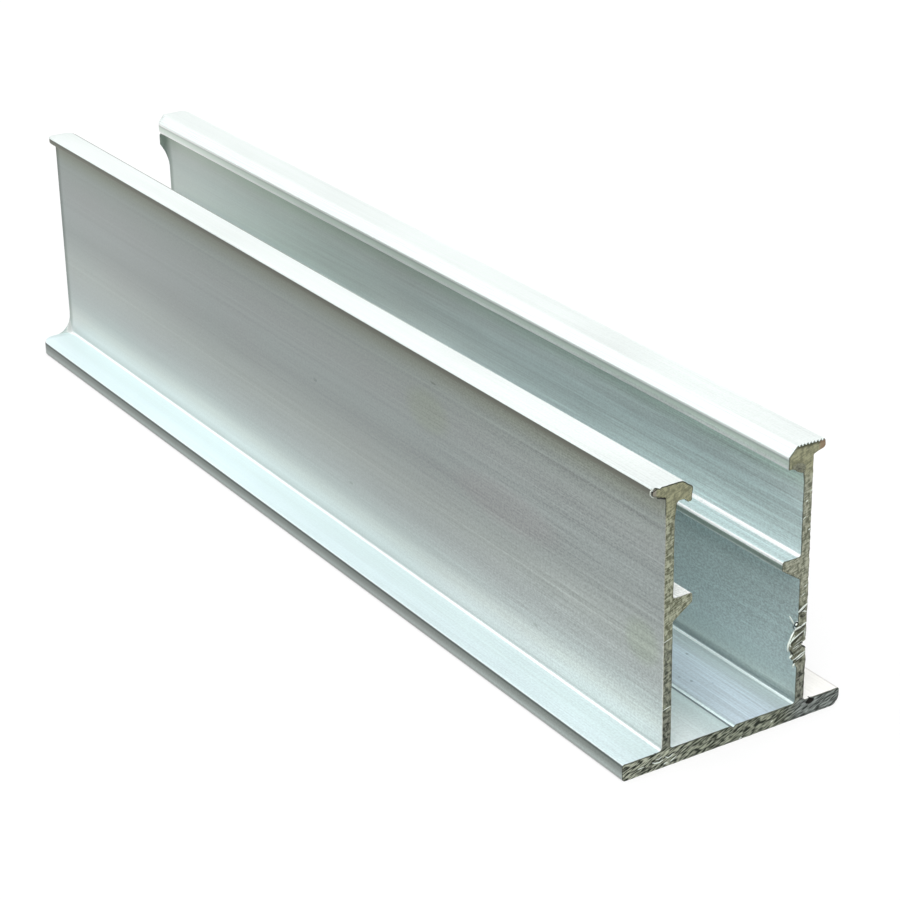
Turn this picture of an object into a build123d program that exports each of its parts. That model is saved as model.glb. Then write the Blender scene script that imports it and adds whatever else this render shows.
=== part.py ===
import os
from math import radians, tan

from build123d import *

os.makedirs("parts", exist_ok=True)

# All sizes are in millimetres. The rail lies on its flat base with its length along Y.
rail_length = 200.0
total_height = 44.8

# The base is a flat strip with a small V groove down the middle of its top.
base_width = 40.0
base_thickness = 2.8
base_upper_round = 0.4
base_lower_round = 0.55
groove_width = 0.85
groove_depth = 0.35

# Two upright webs stand on the base, with the channel between them.
channel_width = 22.9
web_thickness = 1.65
foot_round = 0.45

# Halfway up each web a ledge carries the nut. It is flat on top and sloped underneath.
ledge_reach = 3.35
ledge_top = 27.0
ledge_tip_height = 1.45
ledge_slope = 34.0
ledge_upper_round = 0.45
ledge_lower_round = 0.3
ledge_root_round = 0.4
ledge_under_round = 0.3

# The head of each web has a nose over the channel that ends in a small hook.
nose_reach = 2.9
nose_chamfer = 1.45
nose_height = 3.45
hook_width = 0.65
hook_depth = 0.6
hook_slope = 40.0
hook_round = 0.28
pocket_round = 0.5

# The left nose is rounder than the right one.
nose_upper_round = {-1: 1.3, 1: 0.35}
nose_lower_round = {-1: 0.9, 1: 0.3}

# Each web thickens inwards over the last stretch below its head.
neck_extra = 0.35
neck_length = 3.0

# A lip on the outside of each head is thicker at the web than at its tip.
lip_reach = 2.1
lip_tip_thickness = 1.3
lip_root_thickness = 2.0
lip_upper_round = 0.35
lip_lower_round = 0.5
lip_root_round = 0.4

# Distances across the section are measured from its middle, heights from the underside.
web_inner = channel_width / 2
web_outer = web_inner + web_thickness
neck_inner = web_inner - neck_extra
ledge_tip = web_inner - ledge_reach
nose_face = web_inner - nose_reach
hook_back = nose_face + hook_width
pocket_start = hook_back + hook_depth / tan(radians(hook_slope))
nose_top = nose_face + nose_chamfer
lip_tip = web_outer + lip_reach

ledge_tip_low = ledge_top - ledge_tip_height
ledge_root_low = ledge_tip_low - ledge_reach * tan(radians(ledge_slope))
hook_low = total_height - nose_height
pocket_top = hook_low + hook_depth
neck_start = pocket_top - neck_length
chamfer_low = total_height - nose_chamfer
lip_tip_low = total_height - lip_tip_thickness
lip_root_low = total_height - lip_root_thickness

# The right wall's outline goes up the channel side, over the head and down the outside.
wall_outline = [
    (web_inner, base_thickness / 2),
    (web_inner, ledge_root_low),
    (ledge_tip, ledge_tip_low),
    (ledge_tip, ledge_top),
    (web_inner, ledge_top),
    (web_inner, neck_start),
    (neck_inner, pocket_top),
    (pocket_start, pocket_top),
    (hook_back, hook_low),
    (nose_face, hook_low),
    (nose_face, chamfer_low),
    (nose_top, total_height),
    (lip_tip, total_height),
    (lip_tip, lip_tip_low),
    (web_outer, lip_root_low),
    (web_outer, base_thickness / 2),
]

groove_outline = [
    (-groove_width / 2, base_thickness),
    (0, base_thickness - groove_depth),
    (groove_width / 2, base_thickness),
]


def rounded_corners(side):
    """List the corners of one half of the section as distance across, height, radius."""
    return [
        (base_width / 2, 0, base_lower_round),
        (base_width / 2, base_thickness, base_upper_round),
        (web_outer, base_thickness, foot_round),
        (web_inner, base_thickness, foot_round),
        (web_inner, ledge_root_low, ledge_under_round),
        (ledge_tip, ledge_tip_low, ledge_lower_round),
        (ledge_tip, ledge_top, ledge_upper_round),
        (web_inner, ledge_top, ledge_root_round),
        (neck_inner, pocket_top, pocket_round),
        (pocket_start, pocket_top, hook_round),
        (hook_back, hook_low, hook_round),
        (nose_face, hook_low, hook_round),
        (nose_face, chamfer_low, nose_lower_round[side]),
        (nose_top, total_height, nose_upper_round[side]),
        (lip_tip, total_height, lip_upper_round),
        (lip_tip, lip_tip_low, lip_lower_round),
        (web_outer, lip_root_low, lip_root_round),
    ]


# The rail is one extrusion: its section is drawn upright and drawn out both ways.
with BuildPart() as rail:
    with BuildSketch(Plane.XZ) as section:
        with BuildLine():
            Polyline(*wall_outline, close=True)
        make_face()
        mirror(about=Plane.YZ)
        Rectangle(base_width, base_thickness, align=(Align.CENTER, Align.MIN))

        for side in (-1, 1):
            for across, height, radius in rounded_corners(side):
                corner = section.vertices().sort_by_distance((side * across, height))[0]
                fillet(corner, radius)

        with BuildLine():
            Polyline(*groove_outline, close=True)
        make_face(mode=Mode.SUBTRACT)

    extrude(amount=rail_length / 2, both=True)

rail.part.label = "rail"
export_step(rail.part, "parts/rail.step")
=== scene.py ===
from math import cos, pi, radians, sin

import bmesh
import bpy
from mathutils import Matrix, Quaternion, Vector, noise


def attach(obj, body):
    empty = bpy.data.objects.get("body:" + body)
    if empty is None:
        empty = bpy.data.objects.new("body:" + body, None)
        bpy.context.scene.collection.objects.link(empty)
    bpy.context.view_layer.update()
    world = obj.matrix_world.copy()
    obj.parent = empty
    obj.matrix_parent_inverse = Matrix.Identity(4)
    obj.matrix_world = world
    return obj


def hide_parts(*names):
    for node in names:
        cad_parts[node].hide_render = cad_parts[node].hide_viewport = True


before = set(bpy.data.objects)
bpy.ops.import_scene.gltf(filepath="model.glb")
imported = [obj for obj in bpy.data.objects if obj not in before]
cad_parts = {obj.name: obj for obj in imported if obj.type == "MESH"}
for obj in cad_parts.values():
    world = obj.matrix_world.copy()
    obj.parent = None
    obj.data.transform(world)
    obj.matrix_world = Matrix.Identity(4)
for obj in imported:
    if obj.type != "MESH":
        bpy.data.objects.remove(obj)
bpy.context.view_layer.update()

MM = 0.001
NEAR_END = -0.1
FAR_END = 0.1

# The camera stands low in front and to the left, as for the photograph, and leans a little.
CAMERA_PLACE = Vector((-0.20589, -0.35277, 0.19321))
CAMERA_AIM = Vector((0.0, -0.02357, 0.01858))
CAMERA_ROLL = radians(-1.166)
CAMERA_LENS = 102.39
SENSOR_WIDTH = 36.0

ACROSS = Vector((1, 0, 0))
ALONG = Vector((0, 1, 0))
UP = Vector((0, 0, 1))

# Sizes of the section, in millimetres: distances from its middle, and heights from the underside.
SECTION_TOP = 45.0
BASE_HALF = 20.0
BASE_TOP = 2.8
WEB_INNER = 11.45
WEB_OUTER = 13.1
HEAD_BOTTOM = 41.0
LIP_REACH = 2.1
NOSE_ROOT = 11.9
NOSE_REACH = 3.3

# The near end is divided finely, so that the saw's damage can be modelled there. Depths run along the
# rail from the cut, in millimetres.
ROUGH_DEPTHS = (0.15, 0.35, 0.7, 1.4)
ROUGH_REACH = 1.5
GRID_STEP = 0.3
EDGE_BREAK = 0.08
EDGE_LINE = 0.22
RAGGED = 0.05
RAGGED_DEPTH = 0.7
SMEAR_DEPTH = 0.6
CORNER_ROUND = 1.7
SAW_SLANT = radians(20)
SAW_RELIEF = 0.05

# The right head lies between these corners, and its top edge has notches at an even pitch.
RIGHT_HEAD = ((0.0098, 0.0435), (0.0155, 0.0455))
TOOTH_STEP = 0.15
TOOTH_PITCH = 0.6

# The far end is worn round: how deep that runs along the rail, how far it draws in the lips, noses and
# tops, and where the shape is divided for it. Its inner corners are filled over the walls' feet and below
# the noses.
FAR_ROUND = 3.0
FAR_LIP_ROUND = 1.8
FAR_NOSE_ROUND = 2.2
FAR_TOP_ROUND = 0.6
FAR_TOP_START = 42.5
FAR_TOP_SPAN = 2.3
FAR_FLARE = 3.9
FAR_FLARE_REACH = 3.4
FAR_FILL_START = 33.0
FAR_FILL_SPAN = 5.3
FAR_FILL_REACH = 1.85
FAR_FILL_LIMIT = 9.6
FAR_DEPTHS = (0.1, 0.3, 0.6, 1.0, 1.5, 2.2, 3.0)
FAR_HEIGHTS = (3.5, 4.2, 5.0, 6.0, 7.0, 33.5, 34.3, 35.1, 35.9, 36.7, 37.5, 38.3, 39.3, 40.3)

# Tones of the drawn faces, as pairs of a height, or a place along the rail, in millimetres and a colour.
# The outer wall is painted darker than the level faces, as a shaded copy of the one finish. It is darker
# still towards its top, as painted shade under the lip, and lighter near its foot, as light thrown up from
# the flange.
OUTER_SHADED_TONES = (
    (3.5, (0.66, 0.735, 0.72)),
    (4.8, (0.79, 0.87, 0.86)),
    (7.0, (0.73, 0.80, 0.77)),
    (10.0, (0.555, 0.625, 0.61)),
    (13.5, (0.48, 0.53, 0.52)),
    (18.0, (0.44, 0.485, 0.465)),
    (25.0, (0.355, 0.395, 0.385)),
    (29.0, (0.37, 0.415, 0.405)),
    (34.0, (0.355, 0.39, 0.38)),
    (39.0, (0.33, 0.37, 0.35)),
    (41.0, (0.295, 0.325, 0.28)),
    (43.4, (0.225, 0.235, 0.19)),
    (44.3, (0.14, 0.145, 0.12)),
)
# The inner wall is painted dark as shade in the corner at its foot, and lighter just above the ledge as light
# thrown up from it.
INNER_SHADED_TONES = (
    (3.4, (0.27, 0.335, 0.335)),
    (4.4, (0.52, 0.62, 0.60)),
    (9.0, (0.635, 0.735, 0.725)),
    (15.0, (0.61, 0.71, 0.705)),
    (21.0, (0.59, 0.68, 0.675)),
    (27.5, (0.71, 0.82, 0.825)),
    (30.0, (0.765, 0.875, 0.87)),
    (34.5, (0.70, 0.81, 0.81)),
    (37.0, (0.705, 0.795, 0.79)),
    (39.0, (0.70, 0.82, 0.76)),
)
# On the tips of the ledges and noses, the white bands are painted highlights on their rounds and the dark
# bands are painted shade.
TIP_SHADING_TONES = (
    (25.60, (1.0, 1.0, 0.98)),
    (25.70, (0.36, 0.44, 0.40)),
    (26.36, (0.25, 0.31, 0.26)),
    (26.47, (0.60, 0.68, 0.63)),
    (26.58, (1.0, 1.0, 1.0)),
    (41.15, (0.95, 1.0, 0.97)),
    (41.5, (1.0, 1.0, 1.0)),
    (42.1, (0.78, 0.86, 0.80)),
    (42.6, (0.69, 0.77, 0.70)),
    (42.95, (0.50, 0.56, 0.52)),
    (43.12, (1.0, 1.0, 1.0)),
)
# On the base's outer side, a dark line of painted shade runs below its top round, and that round carries a
# painted highlight.
BASE_SIDE_SHADING = (
    (0.3, (0.49, 0.51, 0.50)),
    (0.6, (0.38, 0.42, 0.41)),
    (0.9, (0.47, 0.54, 0.52)),
    (1.7, (0.28, 0.32, 0.30)),
    (2.25, (0.23, 0.265, 0.245)),
    (2.42, (0.10, 0.125, 0.115)),
    (2.66, (0.09, 0.115, 0.105)),
    (2.74, (0.90, 0.97, 0.95)),
)
INNER_LENGTH_TONES = (
    (-90.0, (1.0, 1.0, 1.0)),
    (-30.0, (1.0, 0.98, 0.98)),
    (10.0, (0.96, 0.90, 0.885)),
    (50.0, (0.96, 0.94, 0.90)),
    (80.0, (0.80, 0.78, 0.75)),
    (98.0, (0.72, 0.70, 0.67)),
)
# Tones of the level faces, the rounds and the groove, as lit and shaded copies of one finish. The right ledge
# and the floor are darker than the head tops, where the walls shade them, and darker still by the right wall.
# The left ledge and the floor by the left wall are painted lighter against that wall's shade, and the left
# flange is darker by its wall. Faces that look down carry painted shade, the rounds and feet are painted
# white or near white as highlights, and a line of painted shade lies beside the groove.
HEAD_TOP = (0.93, 0.99, 0.97)
HEAD_ROUND_HIGHLIGHT = (0.80, 0.88, 0.86)
LEDGE_TOP = (0.655, 0.76, 0.765)
LEFT_LEDGE_TOP = (1.0, 1.0, 0.98)
FLOOR_LEFT_EDGE = (0.92, 1.0, 1.0)
FLOOR_LEFT = (0.70, 0.82, 0.82)
FLOOR_RIGHT = (0.68, 0.785, 0.865)
FLOOR_RIGHT_EDGE = (0.57, 0.67, 0.68)
FOOT_HIGHLIGHT = (0.88, 1.0, 1.0)
LEFT_FLANGE = (0.68, 0.80, 0.81)
LEFT_FLANGE_EDGE = (0.75, 0.875, 0.90)
RIGHT_FLANGE = (0.98, 0.965, 0.93)
RIGHT_FLANGE_EDGE = (0.72, 0.70, 0.67)
UNDERSIDE_SHADE = (0.40, 0.44, 0.41)
ROUND_HIGHLIGHT = (1.0, 1.0, 1.0)
GROOVE_SHADE = (0.20, 0.25, 0.27)
# Along the near cut, the drawn faces carry a painted highlight on the burnished lip, with painted shade at
# its foot and top, and are darker on the right.
CUT_EDGE_SHADING = (
    (3.0, (0.05, 0.06, 0.04)),
    (3.4, (0.70, 0.74, 0.70)),
    (16.0, (0.60, 0.63, 0.60)),
    (27.0, (0.36, 0.37, 0.33)),
    (40.0, (0.33, 0.34, 0.29)),
    (40.5, (0.05, 0.06, 0.04)),
)
CUT_EDGE_RIGHT = (0.12, 0.14, 0.11)

# Faint olive smudges and short dark marks on the outside of the left wall: the place along the length and
# the height, and half the size each way, in millimetres, with a colour.
WALL_SPOTS = (
    (-38.0, 34.0, 7.0, 4.0, (0.97, 0.99, 0.90)),
    (-95.0, 18.5, 4.5, 4.0, (0.96, 0.99, 0.91)),
    (-60.0, 26.0, 16.0, 4.0, (1.02, 0.97, 0.98)),
    (-2.0, 27.0, 0.7, 0.35, (0.78, 0.80, 0.78)),
    (-13.0, 12.0, 0.7, 0.3, (0.8, 0.82, 0.8)),
    (-40.0, 39.4, 0.9, 0.25, (0.72, 0.74, 0.72)),
    (-68.0, 9.2, 0.7, 0.3, (0.8, 0.82, 0.8)),
)

# Dark specks on the channel floor: the place along and across, half the size each way, and a colour.
FLOOR_SPOTS = (
    (-79.0, 7.5, 0.35, 0.25, (0.62, 0.66, 0.68)),
    (-84.1, 2.1, 0.30, 0.20, (0.66, 0.70, 0.72)),
    (-86.1, 2.95, 0.35, 0.25, (0.62, 0.66, 0.68)),
    (-88.4, 5.2, 0.25, 0.20, (0.75, 0.78, 0.80)),
    (-80.6, 4.0, 0.25, 0.18, (0.78, 0.80, 0.82)),
)


def set_camera():
    """Put the camera at the photograph's place, with its slight lean."""
    camera_data = bpy.data.cameras.new("camera")
    camera_data.lens = CAMERA_LENS
    camera_data.sensor_width = SENSOR_WIDTH
    camera_data.clip_start = 0.01
    camera_data.clip_end = 20.0
    camera = bpy.data.objects.new("camera", camera_data)
    bpy.context.scene.collection.objects.link(camera)
    aim = (CAMERA_AIM - CAMERA_PLACE).to_track_quat("-Z", "Y")
    camera.rotation_mode = "QUATERNION"
    camera.rotation_quaternion = aim @ Quaternion((0, 0, 1), CAMERA_ROLL)
    camera.location = CAMERA_PLACE
    bpy.context.scene.camera = camera


# Shader helpers


class Signal:
    """A node's output, which sums and products with other values join by Math nodes."""

    def __init__(self, socket):
        self.socket = socket

    def __add__(self, other):
        return calc("ADD", self, other)

    def __sub__(self, other):
        return calc("SUBTRACT", self, other)

    def __rsub__(self, other):
        return calc("SUBTRACT", other, self)

    def __mul__(self, other):
        return calc("MULTIPLY", self, other)

    def __truediv__(self, other):
        return calc("DIVIDE", self, other)


def connect(value, socket):
    """Link a signal to a socket, or write a plain value or colour on it."""
    if isinstance(value, Signal):
        socket.id_data.links.new(value.socket, socket)
    elif socket.type == "RGBA":
        socket.default_value = (*value, 1)
    else:
        socket.default_value = value


def new_node(kind, *values):
    """Add a node to the tree that the first signal among the values comes from."""
    tree = next(v.socket.id_data for v in values if isinstance(v, Signal))
    return tree.nodes.new(kind)


def calc(operation, first, second=0.0, clamp=False):
    """Return the result of a Math node."""
    made = new_node("ShaderNodeMath", first, second)
    made.operation = operation
    made.use_clamp = clamp
    connect(first, made.inputs[0])
    connect(second, made.inputs[1])
    return Signal(made.outputs[0])


def less(first, second):
    """Return a difference, kept between 0 and 1."""
    return calc("SUBTRACT", first, second, clamp=True)


def ramp(value, low, high, to_low=0.0, to_high=1.0):
    """Return a value mapped smoothly from one range to another; the first may run downwards."""
    made = new_node("ShaderNodeMapRange", value)
    made.interpolation_type = "SMOOTHSTEP"
    connect(value, made.inputs["Value"])
    for name, number in (("From Min", low), ("From Max", high), ("To Min", to_low), ("To Max", to_high)):
        made.inputs[name].default_value = number
    return Signal(made.outputs[0])


def blend(share, first, second, mode="MIX"):
    """Return two colours mixed by a share."""
    made = new_node("ShaderNodeMix", share, first, second)
    made.data_type = "RGBA"
    made.blend_type = mode
    connect(share, made.inputs["Factor"])
    connect(first, made.inputs[6])
    connect(second, made.inputs[7])
    return Signal(made.outputs[2])


def axes(vector):
    """Return the three parts of a vector."""
    made = new_node("ShaderNodeSeparateXYZ", vector)
    connect(vector, made.inputs[0])
    return [Signal(part) for part in made.outputs]


def joined(*parts):
    """Return a vector made of three parts."""
    made = new_node("ShaderNodeCombineXYZ", *parts)
    for part, socket in zip(parts, made.inputs):
        connect(part, socket)
    return Signal(made.outputs[0])


def scaled(tone, gain, share=1.0):
    """Return a colour multiplied by a plain value, as far as the share says."""
    return blend(share, tone, joined(gain, gain, gain), "MULTIPLY")


def mapped(point, scale, shift=(0, 0, 0)):
    """Return coordinates that are scaled, then shifted."""
    made = new_node("ShaderNodeMapping", point)
    connect(point, made.inputs["Vector"])
    made.inputs["Scale"].default_value = scale
    made.inputs["Location"].default_value = shift
    return Signal(made.outputs[0])


def grain(point, detail=2.0, roughness=0.5):
    """Return plain noise at one cell per unit of the coordinates given."""
    made = new_node("ShaderNodeTexNoise", point)
    connect(point, made.inputs["Vector"])
    made.inputs["Scale"].default_value = 1.0
    made.inputs["Detail"].default_value = detail
    made.inputs["Roughness"].default_value = roughness
    return Signal(made.outputs["Fac"])


def placed_tone(place, tones, start=0.0, reach=SECTION_TOP):
    """Return a colour that follows a place, through pairs of a place in millimetres and a tone."""
    made = new_node("ShaderNodeValToRGB", place)
    connect((place - start * MM) / (reach * MM), made.inputs["Fac"])
    stops = made.color_ramp.elements
    while len(stops) < len(tones):
        stops.new(1.0)
    for stop, (at, tone) in zip(stops, tones):
        stop.position = (at - start) / reach
        stop.color = (*tone, 1)
    return Signal(made.outputs["Color"])


def coordinates(tree):
    """Return the place on the object and the direction that its surface faces."""
    made = tree.nodes.new("ShaderNodeTexCoord").outputs
    return Signal(made["Object"]), Signal(made["Normal"])


def stored_value(tree, name):
    """Return a value that the mesh keeps at its points."""
    made = tree.nodes.new("ShaderNodeAttribute")
    made.attribute_name = name
    return Signal(made.outputs["Fac"])


def add_bump(shader, height, strength, depth):
    """Give a shader a fine relief, with its depth in millimetres."""
    made = new_node("ShaderNodeBump", height)
    made.inputs["Strength"].default_value = strength
    made.inputs["Distance"].default_value = depth * MM
    connect(height, made.inputs["Height"])
    connect(Signal(made.outputs[0]), shader.inputs["Normal"])


def new_group(name, vectors, values, results):
    """Start a node group, and return it with what it is given and the sockets for its results."""
    group = bpy.data.node_groups.new(name, "ShaderNodeTree")
    for label in vectors:
        group.interface.new_socket(label, in_out="INPUT", socket_type="NodeSocketVector")
    for label, start in values.items():
        socket = group.interface.new_socket(label, in_out="INPUT", socket_type="NodeSocketFloat")
        socket.default_value = start
    for label in results:
        group.interface.new_socket(label, in_out="OUTPUT", socket_type="NodeSocketFloat")
    given = {socket.name: Signal(socket) for socket in group.nodes.new("NodeGroupInput").outputs}
    return group, given, group.nodes.new("NodeGroupOutput").inputs


def use_group(group, **values):
    """Place a group in the tree of the values given, and return its results by name."""
    made = new_node("ShaderNodeGroup", *values.values())
    made.node_tree = group
    for name, value in values.items():
        connect(value, made.inputs[name.replace("_", " ")])
    return {socket.name: Signal(socket) for socket in made.outputs}


def new_material(name, metallic, roughness):
    """Start a material and return it with its node tree and its Principled shader."""
    material = bpy.data.materials.new(name)
    material.use_nodes = True
    shader = material.node_tree.nodes["Principled BSDF"]
    shader.inputs["Metallic"].default_value = metallic
    shader.inputs["Roughness"].default_value = roughness
    return material, material.node_tree, shader


def die_line_group():
    """Fine lines along the length, as the die leaves them: a fine and a coarse set."""
    group, given, result = new_group("die lines", ("Point",), {"Fine": 1.0, "Coarse": 1.0}, ("Lines",))
    fine = grain(mapped(given["Point"], (4500, 60, 4500)), 2.0, 0.6)
    coarse = grain(mapped(given["Point"], (900, 14, 900)), 3.0, 0.7)
    connect((fine - 0.5) * given["Fine"] + (coarse - 0.5) * given["Coarse"], result["Lines"])
    return group


def single_line_group():
    """One line along the length at a given place, with soft sides."""
    values = {"Place": 0.0, "At": 0.0, "Width": 0.0002, "Strength": 1.0}
    group, given, result = new_group("single die line", (), values, ("Line",))
    away = calc("ABSOLUTE", given["Place"] - given["At"])
    connect(less(1.0, away / given["Width"]) * given["Strength"], result["Line"])
    return group


def spot_group():
    """A soft oval spot on a face, given by its place along and over, and half its size each way."""
    values = {"Along": 0.0, "Over": 0.0, "Centre along": 0.0, "Centre over": 0.0}
    values.update({"Half length": 0.001, "Half width": 0.001})
    group, given, result = new_group("spot", (), values, ("Spot",))
    along = (given["Along"] - given["Centre along"]) / given["Half length"]
    over = (given["Over"] - given["Centre over"]) / given["Half width"]
    connect(ramp(along * along + over * over, 1.2, 0.2), result["Spot"])
    return group


def saw_mark_group():
    """Slanting saw marks across a cut face, in a fine and a coarse set, and larger blotches."""
    group, given, result = new_group("saw marks", ("Point", "Slant"), {}, ("Marks", "Blotches"))
    point = given["Point"]
    bend = grain(mapped(point, (180, 180, 180)), 1.0)
    turned = new_node("ShaderNodeVectorRotate", point)
    turned.rotation_type = "EULER_XYZ"
    connect(point, turned.inputs["Vector"])
    connect(given["Slant"], turned.inputs["Rotation"])
    along, through, over = axes(Signal(turned.outputs[0]))
    over = over + bend * 0.0005
    fine = grain(joined(along * 950.0, through * 950.0, over * 6600.0), 0.0)
    coarse = grain(joined(along * 520.0 + 9.0, through * 520.0, over * 3300.0), 0.0)
    connect(fine * 0.62 + coarse * 0.38, result["Marks"])
    connect(grain(mapped(point, (650, 650, 650)), 2.0, 0.6), result["Blotches"])
    return group


# Places in millimetres, widths in millimetres and strengths of the plainest die lines: heights on
# the outside of the walls, and distances across on the tops of the heads and on the channel floor.
OUTER_LINES = (
    (38.7, 0.2, 0.13),
    (38.2, 0.35, -0.13),
    (35.8, 0.15, 0.07),
    (34.9, 0.15, 0.07),
    (34.4, 0.2, -0.06),
    (32.6, 0.17, 0.20),
    (31.5, 0.17, 0.14),
    (30.7, 0.5, -0.14),
    (30.1, 0.15, 0.07),
    (25.2, 0.35, -0.07),
    (23.5, 0.17, 0.11),
    (23.1, 0.25, -0.13),
    (20.4, 0.15, -0.07),
    (19.9, 0.2, 0.08),
    (19.0, 0.35, -0.11),
    (18.1, 0.2, 0.21),
    (17.5, 0.25, -0.11),
    (11.0, 0.12, -0.06),
    (10.5, 0.15, 0.10),
    (3.5, 0.2, -0.20),
)
HEAD_LINES = (
    (10.7, 0.12, -0.035),
    (11.1, 0.10, -0.03),
    (11.7, 0.15, 0.02),
    (12.0, 0.10, -0.025),
    (13.4, 0.12, 0.02),
    (14.3, 0.15, -0.02),
)
FLOOR_LINES = (
    (2.2, 0.12, 0.04),
    (3.1, 0.15, 0.05),
    (4.6, 0.12, -0.05),
    (6.2, 0.12, 0.04),
    (7.6, 0.15, -0.04),
)


def line_set(single_line, place, lines):
    """Return the sum of several single lines across one direction."""
    total = 0.0
    for at, width, strength in lines:
        made = use_group(single_line, Place=place, At=at * MM, Width=width * MM, Strength=strength)
        total = made["Line"] + total
    return total


def spotted(tone, spot, spots, along, over, mask):
    """Return a tone with soft spots on it, at their places along and over one face."""
    for centre_along, centre_over, half_length, half_width, tint in spots:
        made = use_group(
            spot,
            Along=along,
            Over=over,
            Centre_along=centre_along * MM,
            Centre_over=centre_over * MM,
            Half_length=half_length * MM,
            Half_width=half_width * MM,
        )
        tone = blend(made["Spot"] * mask, tone, tint, "MULTIPLY")
    return tone


def face_tone(x, y, z, nx, ny, nz):
    """Return the tone of each drawn face of the section, with painted light and shade by how each face turns
    and where it lies, and the masks that the lines need.
    """
    across = calc("ABSOLUTE", x)
    outside = ramp(across, 0.0119, 0.0127)
    low = ramp(z, 0.006, 0.004)
    level = ramp(nz, 0.5, 0.95)
    head = ramp(z, 0.042, 0.0425)
    left = ramp(x, 0.001, -0.001)

    tips = ramp(across, 0.0098, 0.0092) * ramp(z, 0.022, 0.024)
    inner = placed_tone(z, INNER_SHADED_TONES)
    inner = blend(1.0, inner, placed_tone(y, INNER_LENGTH_TONES, -100.0, 200.0), "MULTIPLY")
    sides = blend(outside, inner, placed_tone(z, OUTER_SHADED_TONES))
    sides = blend(tips, sides, placed_tone(z, TIP_SHADING_TONES))
    sides = blend(ramp(across, 0.0194, 0.0197), sides, placed_tone(z, BASE_SIDE_SHADING))
    # Faces that look down are painted with shade.
    sides = blend(ramp(nz, -0.7, -0.85), sides, UNDERSIDE_SHADE)

    floor_right = low * ramp(x, 0.0, 0.0004)
    # The channel floor is painted lighter by the left wall, against that wall's shade, and darker by the
    # right wall as painted shade. The left flange is darker by its wall.
    floor_left = blend(ramp(x, -0.0085, -0.001), FLOOR_LEFT_EDGE, FLOOR_LEFT)
    tops = blend(low, blend(left, LEDGE_TOP, LEFT_LEDGE_TOP), floor_left)
    tops = blend(floor_right, tops, blend(ramp(x, 0.006, 0.0105), FLOOR_RIGHT, FLOOR_RIGHT_EDGE))
    left_flange = blend(ramp(across, 0.0155, 0.0185), LEFT_FLANGE, LEFT_FLANGE_EDGE)
    tops = blend(low * outside, tops, blend(left, RIGHT_FLANGE, left_flange))
    tone = blend(level, sides, blend(head, tops, HEAD_TOP))

    ledge = ramp(z, 0.0255, 0.0260) * ramp(z, 0.0290, 0.0285)
    tip = tips * ledge
    turned = calc("ABSOLUTE", nx) - tip * 0.2
    highlight_rounds = ramp(turned, 0.4, 0.6) * ramp(nz + tip * 0.12, 0.1, 0.3) * ramp(across, 0.0199, 0.0196)
    root = less(ramp(across, 0.01072, 0.01090), outside)
    inner_foot = root * low
    groove_top = ramp(x, 0.00018, 0.0003) * ramp(x, 0.0006, 0.0005) * low
    highlight_rounds = less(less(highlight_rounds, inner_foot), groove_top)
    # The rounds, the inner feet and the root rounds of the ledges are painted white or near white as
    # highlights.
    round_highlight_tone = blend(less(low, outside), blend(head, ROUND_HIGHLIGHT, HEAD_ROUND_HIGHLIGHT), FOOT_HIGHLIGHT)
    tone = blend(highlight_rounds, tone, round_highlight_tone)
    tone = blend(inner_foot * ramp(nz, 0.68, 0.80), tone, FOOT_HIGHLIGHT)
    tone = blend(root * ledge * ramp(nz, 0.5, 0.8), tone, ROUND_HIGHLIGHT)
    # A band of painted shade lies on the flat beside the groove.
    groove_shade_band = low * ramp(x, -0.00085, -0.00070) * ramp(x, -0.00028, -0.00040)
    tone = blend(groove_shade_band, tone, GROOVE_SHADE)

    flange_rim = ramp(x, 0.0194, 0.0197) * ramp(nz, 0.2, 0.4)
    tone = blend(flange_rim, tone, RIGHT_FLANGE_EDGE)
    # Painted highlight and shade in the band along the near cut.
    cut_edge = ramp(ny, -0.3, -0.7) * ramp(y, -0.0990, -0.0995)
    tone = blend(cut_edge, tone, blend(left, CUT_EDGE_RIGHT, placed_tone(z, CUT_EDGE_SHADING)))
    bright_ledge = less(ledge * left * level, outside)
    highlight_rounds = calc("MAXIMUM", calc("MAXIMUM", highlight_rounds, inner_foot), bright_ledge)
    return tone, across, outside, level, head, left, low, floor_right, highlight_rounds


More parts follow.
